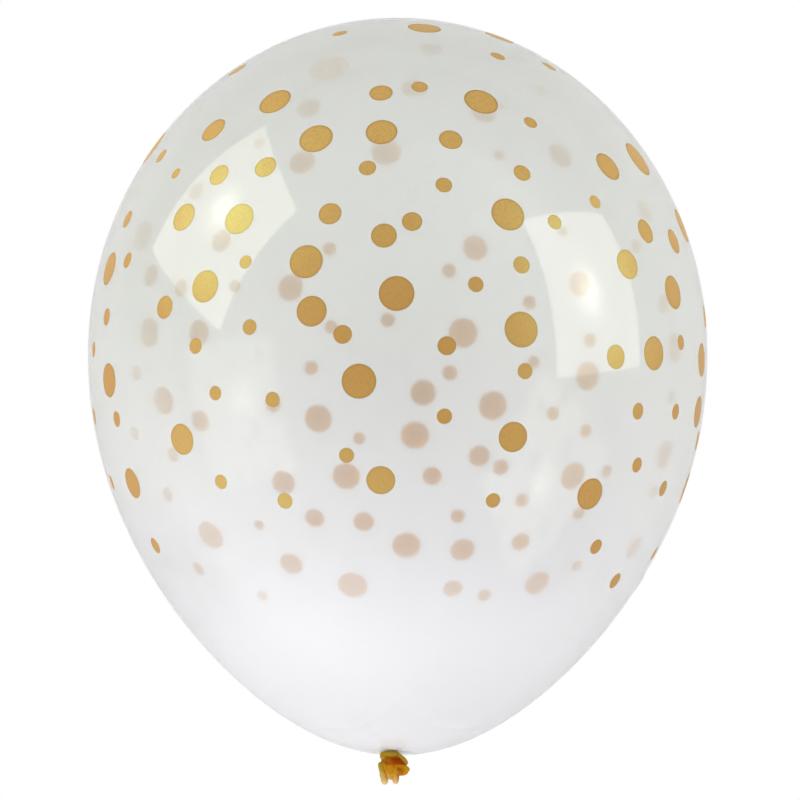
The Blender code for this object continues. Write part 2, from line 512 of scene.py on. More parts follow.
@dataclass(frozen=True)
class ClearLatex(Finish):
    """Thin clear latex: most of what is behind it shows, a little blurred, under a milky veil."""

    NAME = "clear_latex"
    milk_at_crown: Colour = (0.93, 0.938, 0.917)
    milk_at_neck: Colour = (0.97, 0.965, 0.985)
    clear_share: float = 0.86
    roughness: float = 0.065
    refraction: float = 1.45
    milk_start: float = 0.45
    milk_full: float = 0.85

    def look(self, wiring: Wiring) -> dict[str, Any]:
        """Works out the shader's inputs, with a veil that changes colour toward the neck.

        Args:
            wiring: The material's tree.

        Returns:
            The inputs.
        """
        milk = NeckShare.add(wiring, self.milk_start, self.milk_full)
        return {
            "Base Color": wiring.blend(milk, self.milk_at_crown, self.milk_at_neck),
            "Roughness": self.roughness,
            "IOR": self.refraction,
            "Transmission Weight": self.clear_share,
        }


@dataclass(frozen=True)
class MilkyLatex(Finish):
    """The less stretched latex toward the neck, which is thicker and so milkier."""

    NAME = "milky_latex"
    colour: Colour = (0.97, 0.962, 0.985)
    roughness: float = 0.5
    thickening_start: float = 0.78
    thickening_full: float = 0.93
    most_milk: float = 0.24

    def look(self, wiring: Wiring) -> dict[str, Any]:
        """Works out the shader's inputs, with a film that thickens toward the neck.

        Args:
            wiring: The material's tree.

        Returns:
            The inputs.
        """
        milk = NeckShare.add(wiring, self.thickening_start, self.thickening_full, self.most_milk)
        return {"Base Color": self.colour, "Roughness": self.roughness, "Alpha": milk}


@dataclass(frozen=True)
class GoldInk(Finish):
    """Gold ink with a satin gloss, a darker rim and fine mottling.

    It is lighter toward the crown, a painted highlight for the stronger light that the dots there catch.
    Its underside, which shows through the far wall, glows with a painted backlight in place of the light
    that thin ink lets by: little and warm close over the floor, more and whiter higher up.
    """

    NAME = "gold_ink"
    colour: Colour = (0.445, 0.131, 0.014)
    # Painted highlight: lighter ink toward the crown stands in for the stronger light the upper dots
    # catch.
    colour_in_crown_light: Colour = (0.59, 0.270, 0.058)
    patch_colour: Colour = (0.33, 0.075, 0.0)
    rim_colour: Colour = (0.31, 0.075, 0.0)
    underside_colour: Colour = (0.86, 0.46, 0.01)
    no_painted_backlight: Colour = (0.0, 0.0, 0.0)
    # Painted backlight: the far dots' undersides glow to stand in for light let through the thin ink.
    painted_backlight_low: Colour = (0.28, 0.10, 0.0)
    painted_backlight_high: Colour = (0.41, 0.43, 0.50)
    backlight_full_height: float = 0.12
    crown_light_from: float = -0.03
    crown_light_to: float = 0.13
    gloss_tint: Colour = (0.70, 1.0, 0.42)
    refraction: float = 2.72
    roughness: float = 0.40
    underside_roughness: float = 0.75
    rim_start: float = 0.84
    mottle_strength: float = 0.5
    patch_scale: float = 950.0
    patch_detail: float = 4.0
    patch_limits: Span = (0.42, 0.68)
    streak_scale: float = 1500.0
    streak_detail: float = 2.0
    streak_stretch: float = 0.10
    streak_turn: Place = (0.3, 0.2, 0.5)

    def mottling(self, wiring: Wiring, place: Socket) -> Socket:
        """Mixes patches with fine streaks.

        Args:
            wiring: The material's tree.
            place: The place on the object.

        Returns:
            The socket with the share of the patches' colour.
        """
        inputs = {"Vector": place, "Scale": self.patch_scale, "Detail": self.patch_detail}
        patches = wiring.ramp(wiring.out("ShaderNodeTexNoise", inputs), *self.patch_limits, smooth=False)
        stretch = (1.0, self.streak_stretch, 1.0)
        inputs = {"Vector": place, "Rotation": self.streak_turn, "Scale": stretch}
        drawn = wiring.out("ShaderNodeMapping", inputs)
        inputs = {"Vector": drawn, "Scale": self.streak_scale, "Detail": self.streak_detail}
        streaks = wiring.math("SUBTRACT", wiring.out("ShaderNodeTexNoise", inputs), 0.5)
        return wiring.math("MULTIPLY", wiring.math("ADD", streaks, patches), self.mottle_strength)

    def look(self, wiring: Wiring) -> dict[str, Any]:
        """Works out the shader's inputs from the dots' own ink_reach and ink_height attributes.

        Args:
            wiring: The material's tree.

        Returns:
            The inputs.
        """
        place = wiring.node("ShaderNodeTexCoord").outputs["Object"]
        _, along, height = wiring.split(place)
        upper = wiring.math("GREATER_THAN", wiring.painted("ink_height"), 0.5)
        # Painted highlight that grows toward the crown.
        crown_light = wiring.ramp(along, self.crown_light_from, self.crown_light_to)
        plain = wiring.blend(crown_light, self.colour, self.colour_in_crown_light)
        mottled = wiring.blend(self.mottling(wiring, place), plain, self.patch_colour)
        rim = wiring.ramp(wiring.painted("ink_reach"), self.rim_start, 1.0)
        rimmed = wiring.blend(rim, mottled, self.rim_colour)
        # Painted backlight on the underside, warm low down and whiter higher above the floor.
        backlight_height_share = wiring.ramp(height, 0.0, self.backlight_full_height, smooth=False)
        painted_backlight = wiring.blend(backlight_height_share, self.painted_backlight_low, self.painted_backlight_high)
        return {
            "Base Color": wiring.blend(upper, self.underside_colour, rimmed),
            "Roughness": wiring.ramp(upper, 0.0, 1.0, self.underside_roughness, self.roughness, False),
            "Emission Color": wiring.blend(upper, painted_backlight, self.no_painted_backlight),
            "Emission Strength": 1.0,
            "IOR": self.refraction,
            "Specular Tint": self.gloss_tint,
        }


@dataclass(frozen=True)
class Skin:
    """The skin of the body, a closed wall made from the body's own formula."""

    form: BalloonForm
    lying: Matrix
    segments: int = 224
    rings: int = 160
    wall: float = 0.0003
    over_floor: float = 0.00018
    dimple_depth: float = 0.0015
    dimple_radius: float = 0.0075

    def surface(self) -> bpy.types.Object:
        """Makes the outer face of the skin.

        Returns:
            A helper object with that face alone.
        """
        form, place = self.form, self.lying.translation
        inputs = {
            "Segments": self.segments, "Rings": self.rings, "Radius": form.diameter / 2,
            "Crown Height": form.crown_height, "Flank Height": form.flank_height,
            "Flank Taper": form.flank_taper, "Taper Power": form.taper_power,
            "Neck Offset": form.neck_offset, "Dimple Depth": self.dimple_depth,
            "Dimple Radius": self.dimple_radius, "Pitch": form.pitch(), "Shift": place.y,
            "Lift": place.z, "Over Floor": self.over_floor,
        }
        recipe = GeometryRecipe("skin surface", inputs)
        wiring, start, number = recipe.wiring, recipe.start, recipe.wiring.math
        inputs = {"Segments": start["Segments"], "Rings": start["Rings"], "Radius": 1.0}
        ball = wiring.out("GeometryNodeMeshUVSphere", inputs)
        across, front, rise = wiring.split(wiring.out("GeometryNodeInputPosition"))
        below = number("MAXIMUM", number("MULTIPLY", rise, -1.0), 0.0)
        taper = number("MULTIPLY", start["Flank Taper"], number("POWER", below, start["Taper Power"]))
        reach = number("MULTIPLY", start["Radius"], number("SUBTRACT", 1.0, taper))
        right, back = number("MULTIPLY", across, reach), number("MULTIPLY", front, reach)
        crown = number("GREATER_THAN", rise, 0.0)
        inputs = {"Switch": crown, "False": start["Flank Height"], "True": start["Crown Height"]}
        half = wiring.out("GeometryNodeSwitch", inputs, input_type="FLOAT")
        along = number("ADD", start["Flank Height"], number("MULTIPLY", rise, half))
        from_neck = wiring.join(number("SUBTRACT", right, start["Neck Offset"]), back, 0.0)
        bell = wiring.bell(wiring.measure("LENGTH", from_neck), start["Dimple Radius"])
        pressed = number("MULTIPLY", bell, start["Dimple Depth"])
        along = number("ADD", along, number("MULTIPLY", pressed, number("LESS_THAN", rise, 0.0)))
        toward = number("MULTIPLY", number("SUBTRACT", 1.0, rise), 0.5)
        marked = wiring.store(ball, "toward_neck", toward)
        upright = wiring.join(right, along, number("MULTIPLY", back, -1.0))
        inputs = {"Vector": upright, "Angle": start["Pitch"]}
        x, y, z = wiring.split(wiring.out("ShaderNodeVectorRotate", inputs, rotation_type="X_AXIS"))
        height = number("MAXIMUM", number("ADD", z, start["Lift"]), start["Over Floor"])
        settled = wiring.join(x, number("ADD", y, start["Shift"]), height)
        placed = wiring.out("GeometryNodeSetPosition", {"Geometry": marked, "Position": settled})
        recipe.finish(wiring.out("GeometryNodeSetShadeSmooth", {"Geometry": placed}))
        return recipe.run("skin_surface", bpy.data.meshes.new("skin_surface"))

    def build(self, surface: bpy.types.Object, finish: ClearLatex) -> bpy.types.Object:
        """Gives the outer face its wall and its finish.

        Args:
            surface: The outer face.
            finish: The finish of both faces.

        Returns:
            The finished skin.
        """
        recipe = GeometryRecipe("skin wall", {"Wall": self.wall, "Finish": finish.build()})
        wiring, start = recipe.wiring, recipe.start
        inward = wiring.math("MULTIPLY", start["Wall"], -1.0)
        wall = wiring.sheet(wiring.lifted(start["Geometry"], inward), start["Geometry"])
        recipe.finish(wall)
        return recipe.run("skin", surface.data.copy())


@dataclass(frozen=True)
class NeckBloom:
    """The milky film that covers the skin toward the neck."""

    start: float = 0.76
    gap: float = 0.000004
    thickness: float = 0.00001

    def build(self, surface: bpy.types.Object, finish: MilkyLatex) -> bpy.types.Object:
        """Makes the film just outside the skin.

        Args:
            surface: The outer face of the skin.
            finish: The finish of the film.

        Returns:
            The finished film, two layers that face away from each other.
        """
        inputs = {"Start": self.start, "Gap": self.gap, "Thickness": self.thickness}
        recipe = GeometryRecipe("neck bloom", {**inputs, "Finish": finish.build()})
        wiring, start = recipe.wiring, recipe.start
        bare = wiring.math("LESS_THAN", wiring.stored("toward_neck"), start["Start"])
        inputs = {"Geometry": start["Geometry"], "Selection": bare}
        kept = wiring.out("GeometryNodeDeleteGeometry", inputs)
        upper = wiring.math("ADD", start["Gap"], start["Thickness"])
        film = wiring.sheet(wiring.lifted(kept, start["Gap"]), wiring.lifted(kept, upper))
        recipe.finish(film)
        return recipe.run("neck_bloom", surface.data.copy())


@dataclass(frozen=True)
class ConfettiPrint:
    """The gold dots, placed where the photograph shows them on the near and the far wall.

    Each dot is its column and row in the photograph and its width there, all in pixels, as are
    middle and step_in. Every other length is in metres.
    """

    ink_thickness: float = 0.00007
    ink_gap: float = 0.00002
    sides: int = 24
    crisp_angle: float = 1.0
    edge_seed: int = 7
    edge_dots: int = 30
    edge_tries: int = 1500
    edge_facing: Span = (-0.30, -0.06)
    edge_gap: float = 0.008
    edge_widths: tuple[float, ...] = (0.0075, 0.0095, 0.0125, 0.0155)
    middle: Span = (400, 360)
    step_in: float = 0.25
    past_wall: float = 0.001
    near: tuple[Place, ...] = (
        (340, 33.5, 15), (424.3, 27.9, 33.5), (237, 70, 21), (213.5, 130, 29), (153.9, 147.6, 38),
        (161.5, 156, 16), (176, 173.5, 12), (219, 175, 23.5), (275, 101.5, 34.5), (381, 93, 23.5),
        (419.6, 86.9, 16.5), (316, 138.5, 35), (381.5, 132, 32), (367.5, 168, 17.5), (265.5, 167, 24),
        (499.5, 37.5, 31), (497.8, 56.3, 15.5), (549, 66.5, 16), (481.2, 101.6, 35.5),
        (530.5, 122.6, 14.5), (450.7, 139.7, 24), (522, 173, 18.5), (443.8, 185, 17),
        (608, 166.5, 32), (638, 159, 39), (595, 202, 14.5), (127.5, 219.3, 18.5), (109.4, 268.6, 34),
        (127.6, 260.3, 16), (183.8, 217.1, 30), (239.1, 218.8, 33.5), (245.6, 261.9, 14),
        (205, 286.3, 33.5), (164.8, 307.3, 23.5), (106.8, 316.9, 17.5), (93.8, 349.6, 15.5),
        (109, 380.3, 34.5), (195.6, 346, 16), (215.4, 393.1, 14.5), (249.6, 327.1, 15.8),
        (330.1, 213.7, 23.5), (306.1, 261.6, 35), (311.6, 311.2, 31.5), (342.6, 334.4, 19),
        (383.9, 235.6, 26), (412.1, 221.5, 20.5), (396.6, 293.4, 36), (358.9, 381.2, 35.3),
        (272.6, 399.5, 15.5), (507.9, 214.4, 35.5), (554.6, 222.1, 16), (521.5, 264.9, 18),
        (475.8, 284.4, 16), (521.3, 329.6, 36.5), (446.8, 345.8, 19), (525, 371.1, 16.2),
        (645.5, 231.3, 25.5), (673.8, 241.3, 26), (681.9, 225.6, 36), (627.5, 264.4, 31),
        (673.1, 292.3, 34.5), (704.8, 316.3, 23), (615.9, 356.9, 25), (654, 353.3, 34.5),
        (680.8, 342.5, 15), (701.8, 360, 33.5), (94.5, 416.5, 17), (116.8, 419, 16),
        (182, 439.3, 31.8), (112, 482.5, 15), (132.5, 483.3, 31.5), (221, 481.8, 15),
        (155.5, 545.6, 17), (346.6, 455.3, 15.4), (380.8, 480.2, 29.2), (285, 500.9, 16.4),
        (444.4, 416.3, 15.6), (513, 437, 31), (493, 500.4, 15.2), (590, 494, 33), (596, 546.7, 16),
        (638, 411.2, 17), (675.5, 411.7, 16), (698, 412, 32), (697.3, 441, 20), (637, 465, 15.5),
        (663, 488.4, 16.5), (684.8, 488.5, 34), (654.2, 553.3, 15), (615, 580.8, 17.5),
        (639.5, 584, 19),
    )
    far: tuple[Place, ...] = (
        (329, 67, 41), (308.5, 107.5, 25), (302, 162, 27), (386, 152, 30), (414, 88, 26),
        (259, 143, 13), (431, 48, 23), (484, 112, 27), (503, 106, 10), (499.5, 155, 11.5),
        (561, 155, 28), (540.5, 89, 14), (571, 84, 14), (221, 241, 23), (141.9, 236.2, 33),
        (150.4, 275.6, 24), (148.5, 332.5, 30), (198.5, 333, 26), (136, 373, 15.5), (163, 400.5, 29),
        (234.4, 286.3, 12.5), (181, 288, 18), (196, 191, 20), (290.2, 287.8, 27), (329.5, 249, 14),
        (331, 326.9, 13.5), (311, 368, 14.8), (387.8, 320, 14.5), (423.1, 392.7, 26),
        (475.4, 248.1, 25.5), (448.9, 270.6, 14.5), (463.1, 332.9, 30), (450, 372.8, 15.3),
        (529.6, 302.5, 14.5), (533.8, 362.5, 13), (580, 283.8, 26), (590.6, 340, 15),
        (587.9, 376.2, 29), (562.5, 231, 12), (493, 405.8, 29.5), (645.6, 211, 25),
        (636.3, 245.6, 14), (664, 304, 19), (676, 347.5, 31), (672.5, 397, 15), (200, 421.2, 22.5),
        (134, 434, 15.5), (172.5, 455, 16), (167, 495, 15), (210, 535.3, 31), (198, 569.5, 16),
        (273, 404, 17), (318, 418.7, 28.5), (359, 438.4, 12.6), (415, 435.7, 28.8),
        (346.2, 476.3, 28), (283.3, 482.5, 25), (432, 476, 19.5), (314.5, 518.3, 20.5),
        (363.6, 521.8, 21), (259, 525.3, 11.5), (406.5, 545.5, 29), (291, 564, 24.5),
        (352.5, 585.5, 30.5), (553, 413.5, 14.5), (586.3, 431.5, 14.5), (479.5, 456, 22),
        (500.5, 467.5, 16.5), (573, 476, 29), (522, 500.5, 14.5), (458, 516.3, 15),
        (579, 513.5, 14.5), (521, 542, 20), (462.7, 550, 25.3), (577, 566, 12.5),
        (537.5, 583.3, 28), (453, 588.8, 19.5), (484.5, 595.5, 14.5), (665, 455, 31),
        (607, 471.3, 13), (654, 492, 15), (635.5, 547.5, 26), (613, 596, 14), (262, 596, 12),
    )

    def spots(self, view: PhotoView, lens: Vector, surface: bpy.types.Object) -> list[Spot]:
        """Finds each dot's place on the skin.

        Args:
            view: The camera that the dots are seen from.
            lens: The camera's place.
            surface: The outer face of the skin.

        Returns:
            Triples of centre, outward direction and diameter.
        """
        mesh = surface.data
        corners = [vertex.co for vertex in mesh.vertices]
        tree = BVHTree.FromPolygons(corners, [face.vertices for face in mesh.polygons])
        focal = PICTURE_SIDE * view.focal_length / view.sensor
        found = []
        for side, dots in ((Side.NEAR, self.near), (Side.FAR, self.far)):
            for column, row, width in dots:
                centre, outward = self.meet(tree, view, lens, Vector((column, row)), side)
                depth = (lens - centre).dot(view.back())
                found.append((centre, outward, width * depth / focal))
        self.fill_edge(found, lens, mesh)
        return found

    def meet(
        self, tree: BVHTree, view: PhotoView, lens: Vector, spot: Vector, side: Side
    ) -> tuple[Vector, Vector]:
        """Follows a line of sight to the skin, moved in from the edge as far as it needs.

        Args:
            tree: The skin's faces.
            view: The camera.
            lens: The camera's place.
            spot: The column and the row of the picture.
            side: Which wall to stop at.

        Returns:
            The place and the outward direction there.
        """
        inward = (Vector(self.middle) - spot).normalized() * self.step_in
        while True:
            ray = view.ray(*spot).normalized()
            place, outward, _, _ = tree.ray_cast(lens, ray)
            if place is not None:
                break
            spot += inward
        if side is Side.FAR:
            beyond, out, _, _ = tree.ray_cast(place + ray * self.past_wall, ray)
            if beyond is not None:
                return beyond, out
        return place, outward

    def fill_edge(self, spots: list[Spot], lens: Vector, mesh: bpy.types.Mesh) -> None:
        """Adds dots just behind the edge, where the photograph shows none through the skin.

        Args:
            spots: The dots so far, which gets the new ones.
            lens: The camera's place.
            mesh: The outer face of the skin.
        """
        chance = np.empty(len(mesh.polygons))
        mesh.polygons.foreach_get("area", chance)
        maker = np.random.default_rng(self.edge_seed)
        lowest = min(centre.y for centre, _, _ in spots)
        wanted = len(spots) + self.edge_dots
        for number in maker.choice(len(chance), self.edge_tries, p=chance / chance.sum()):
            face = mesh.polygons[int(number)]
            centre, outward = face.center.copy(), face.normal.copy()
            width = float(maker.choice(self.edge_widths))
            facing = outward.dot((lens - centre).normalized())
            behind_edge = self.edge_facing[0] < facing < self.edge_facing[1]
            free = all(
                (centre - other).length > (width + other_width) / 2 + self.edge_gap
                for other, _, other_width in spots
            )
            if behind_edge and free and centre.y > lowest and len(spots) < wanted:
                spots.append((centre, outward, width))

    def stamp(self, wiring: Wiring, sides: Socket) -> Socket:
        """Makes one dot, a disc 1 wide and 1 thick that knows its reach, its height and its rim.

        Args:
            wiring: The tree that gets the nodes.
            sides: The number of its sides.

        Returns:
            The socket with the disc.
        """
        inputs = {"Vertices": sides, "Side Segments": 1, "Fill Segments": 2, "Radius": 0.5, "Depth": 1.0}
        disc = wiring.out("GeometryNodeMeshCylinder", inputs, fill_type="TRIANGLE_FAN")
        place = wiring.out("GeometryNodeInputPosition")
        flat = wiring.vector("MULTIPLY", place, (2.0, 2.0, 0.0))
        disc = wiring.store(disc, "ink_reach", wiring.measure("LENGTH", flat))
        disc = wiring.store(disc, "ink_height", wiring.math("ADD", wiring.split(place)[2], 0.5))
        bend = wiring.out("GeometryNodeInputMeshEdgeAngle")
        rim = wiring.math("GREATER_THAN", bend, self.crisp_angle)
        return wiring.store(disc, "rim_edge", rim, "BOOLEAN", "EDGE")

    def build(self, spots: list[Spot], surface: bpy.types.Object, finish: GoldInk) -> bpy.types.Object:
        """Prints the dots, each a thin disc that follows the skin.

        Args:
            spots: The dots' centres, outward directions and diameters.
            surface: The outer face of the skin.
            finish: The ink.

        Returns:
            The finished print.
        """
        mesh = bpy.data.meshes.new("print_centres")
        mesh.from_pydata([centre for centre, _, _ in spots], [], [])
        outward = mesh.attributes.new("outward", "FLOAT_VECTOR", "POINT")
        outward.data.foreach_set("vector", [x for _, out, _ in spots for x in out])
        width = mesh.attributes.new("width", "FLOAT", "POINT")
        width.data.foreach_set("value", [diameter for _, _, diameter in spots])
        inputs = {
            "Skin": surface, "Sides": self.sides, "Ink Thickness": self.ink_thickness,
            "Ink Gap": self.ink_gap, "Finish": finish.build(),
        }
        recipe = GeometryRecipe("confetti print", inputs)
        wiring, start = recipe.wiring, recipe.start
        facing = {"Vector": wiring.stored("outward", "FLOAT_VECTOR")}
        across = wiring.stored("width")
        inputs = {
            "Points": start["Geometry"],
            "Instance": self.stamp(wiring, start["Sides"]),
            "Rotation": wiring.out("FunctionNodeAlignRotationToVector", facing, axis="Z"),
            "Scale": wiring.join(across, across, start["Ink Thickness"]),
        }
        copies = wiring.out("GeometryNodeInstanceOnPoints", inputs)
        real = wiring.out("GeometryNodeRealizeInstances", {0: copies})
        skin = wiring.node("GeometryNodeObjectInfo", {"Object": start["Skin"]}).outputs["Geometry"]
        nearest = wiring.out("GeometryNodeProximity", {0: skin}, target_element="FACES")
        inputs = {0: skin, "Value": wiring.out("GeometryNodeInputNormal")}
        normal = wiring.out("GeometryNodeSampleNearestSurface", inputs, data_type="FLOAT_VECTOR")
        height = wiring.math("MULTIPLY", wiring.stored("ink_height"), start["Ink Thickness"])
        lift = wiring.scaled(normal, wiring.math("ADD", start["Ink Gap"], height))
        inputs = {"Geometry": real, "Position": wiring.vector("ADD", nearest, lift)}
        fitted = wiring.out("GeometryNodeSetPosition", inputs)
        smooth = wiring.out("GeometryNodeSetShadeSmooth", {"Geometry": fitted})
        rim = wiring.stored("rim_edge", "BOOLEAN")
        inputs = {"Geometry": smooth, "Selection": rim, "Shade Smooth": False}
        recipe.finish(wiring.out("GeometryNodeSetShadeSmooth", inputs, domain="EDGE"))
        return recipe.run("confetti_print", mesh)


@dataclass(frozen=True)
class AmberLatex(Finish):
    """Unstretched latex, amber where it is thick, red where it is wound tight, pale at its tips, with
    painted highlights on its ridges and painted shade in its creases.
    """

    NAME = "amber_latex"
    amber: Colour = (0.50, 0.220, 0.004)
    red: Colour = (0.28, 0.036, 0.0)
    olive: Colour = (0.40, 0.275, 0.020)
    # Pale colour for the thin tips, also used as a painted highlight on the ridges.
    pale_and_ridge_highlight: Colour = (0.64, 0.52, 0.27)
    # Painted shade for the creases between pleats.
    crease: Colour = (0.32, 0.090, 0.0)
    roughness: float = 0.38
    gloss: float = 0.05
    wrinkle_scale: float = 900.0
    wrinkle_detail: float = 3.0
    wrinkle_depth: float = 0.00006
    glow_share: float = 0.2
    glow_reach: Place = (1.0, 0.5, 0.15)
    glow_depth: float = 0.0012

    def look(self, wiring: Wiring) -> dict[str, Any]:
        """Works out the shader's inputs from the marks that the knot's tints leave on it.

        Args:
            wiring: The material's tree.

        Returns:
            The inputs.
        """
        colour = self.amber
        # The pale mark mixes real thin tips with a painted highlight on the ridges, and the crease mark is
        # painted shade.
        tints = {"warmth": self.red, "olive": self.olive, "paleness": self.pale_and_ridge_highlight, "crease": self.crease}
        for name, tint in tints.items():
            colour = wiring.blend(wiring.painted(name), colour, tint)
        place = wiring.node("ShaderNodeTexCoord").outputs["Object"]
        inputs = {"Vector": place, "Scale": self.wrinkle_scale, "Detail": self.wrinkle_detail}
        inputs = {"Height": wiring.out("ShaderNodeTexNoise", inputs), "Distance": self.wrinkle_depth}
        return {
            "Base Color": colour,
            "Normal": wiring.out("ShaderNodeBump", inputs),
            "Roughness": self.roughness,
            "Specular IOR Level": self.gloss,
            "Subsurface Weight": self.glow_share,
            "Subsurface Radius": self.glow_reach,
            "Subsurface Scale": self.glow_depth,
        }


@dataclass(frozen=True)
class Strand:
    """One roll, pleat or lobe of the knot: a round-ended length of latex along a smooth curve.

    Its points are millimetres to the right of the axis, above the root and to the front.
    """

    name: str
    points: tuple[Place, ...]
    width: float
    depth: float
    fullness: float = 3.0


@dataclass(frozen=True)
class Turn:
    """One turn of latex round the neck, in millimetres."""

    name: str
    centre: Span
    reach: float
    thickness: float
    height: float
    slant: float


@dataclass(frozen=True)
class KnotTints:
    """Where the knot changes colour, and by what share, including the painted highlights on its ridges and
    the painted shade in its creases.

    Each pair is the stretch over which a tint grows to its full share, in millimetres. Its name
    says how it is measured from the root of the neck, or that it is a bulge of the surface.
    """

    form_steps: int = 24
    bulge_steps: int = 6
    cord_slope: float = 0.94
    cord_up: Span = (-2.5, -0.9)
    cord_share: float = 0.85
    collar_up: Span = (-2.9, -1.9)
    collar_share: float = 0.75
    wrap_up: Span = (-6.9, -5.4)
    wrap_right: Span = (-7.6, -5.4)
    wrap_full_right: Span = (-5.0, -1.0)
    wrap_share: float = 0.65
    fold_down: Span = (6.0, 8.0)
    fold_right: Span = (-1.2, 0.4)
    fold_end_right: Span = (1.6, 4.0)
    fold_share: float = 0.45
    edge_left: Span = (5.6, 7.8)
    edge_left_share: float = 0.75
    edge_right: Span = (3.4, 5.4)
    edge_right_share: float = 0.6
    tips_down: Span = (11.8, 15.4)
    tips_share: float = 0.8
    ridge_bulge: Span = (0.015, 0.06)
    ridge_down: Span = (8.0, 11.0)
    ridge_end_right: Span = (-1.0, 0.6)
    ridge_highlight_share: float = 0.3
    # Painted shade in the creases, by how far the surface dips.
    crease_shade_bulge: Span = (0.010, 0.09)
    crease_shade_share: float = 0.55

    @staticmethod
    def rise(values: np.ndarray, stretch: Span) -> np.ndarray:
        """Rises smoothly from 0 to 1.

        Args:
            values: What is measured.
            stretch: Where it starts to rise and where it is full.

        Returns:
            The shares.
        """
        low, high = stretch
        share = np.clip((values - low) / (high - low), 0, 1)
        return share * share * (3 - 2 * share)

    @staticmethod
    def soften(values: np.ndarray, pairs: np.ndarray, times: int) -> np.ndarray:
        """Replaces each point's value by its neighbours' mean, time after time.

        Args:
            values: A row for each point.
            pairs: The two ends of each edge.
            times: How often.

        Returns:
            The softened rows.
        """
        ties = np.bincount(pairs.ravel(), minlength=len(values))[:, None]
        for _ in range(times):
            total = np.zeros_like(values)
            np.add.at(total, pairs[:, 0], values[pairs[:, 1]])
            np.add.at(total, pairs[:, 1], values[pairs[:, 0]])
            values = total / ties
        return values

    def mark(self, mesh: bpy.types.Mesh) -> None:
        """Marks where the latex is wound tight, olive or thin, and where highlights are painted on its
        ridges and shade in its creases.

        Args:
            mesh: The fused knot, still upright.
        """
        flat = np.empty(len(mesh.vertices) * 3)
        mesh.vertices.foreach_get("co", flat)
        place = flat.reshape(-1, 3) * MM
        mesh.vertices.foreach_get("normal", flat)
        normal = flat.reshape(-1, 3)
        ends = np.empty(len(mesh.edges) * 2, dtype=np.int32)
        mesh.edges.foreach_get("vertices", ends)
        pairs = ends.reshape(-1, 2)
        bulge = (place - self.soften(place, pairs, self.form_steps)) * normal
        bulge = self.soften(bulge.sum(1, keepdims=True), pairs, self.bulge_steps)[:, 0]
        right, up = place[:, 0], place[:, 1]
        cord = self.rise(up + self.cord_slope * right, self.cord_up)
        collar = self.rise(up, self.collar_up)
        wrap = self.rise(up, self.wrap_up) * (1 - collar) * (1 - cord) * self.rise(right, self.wrap_right)
        wrap *= self.wrap_share + (1 - self.wrap_share) * self.rise(right, self.wrap_full_right)
        fold = self.rise(right, self.fold_right) * (1 - self.rise(right, self.fold_end_right))
        fold *= self.rise(-up, self.fold_down) * self.fold_share
        top = np.maximum(collar * self.collar_share, cord * self.cord_share)
        left_edge = self.rise(-right, self.edge_left) * self.edge_left_share
        right_edge = self.rise(right, self.edge_right) * self.edge_right_share
        tips = self.rise(-up, self.tips_down) * self.tips_share
        # Painted highlight on the ridges of the pleats.
        ridge_highlight = self.rise(bulge, self.ridge_bulge) * self.rise(-up, self.ridge_down) * self.ridge_highlight_share
        ridge_highlight *= 1 - self.rise(right, self.ridge_end_right)
        marks = {
            "warmth": np.maximum(wrap, fold),
            "olive": np.maximum(top, np.maximum(left_edge, right_edge)),
            # Thin tips, plus a painted highlight on the ridges.
            "paleness": np.clip(tips + ridge_highlight * (1 - tips), 0, 1),
            # The crease mark is painted shade.
            "crease": self.rise(-bulge, self.crease_shade_bulge) * self.crease_shade_share,
        }
        for name, values in marks.items():
            shares = mesh.attributes.new(name, "FLOAT", "POINT")
            shares.data.foreach_set("value", values.astype(np.float32))


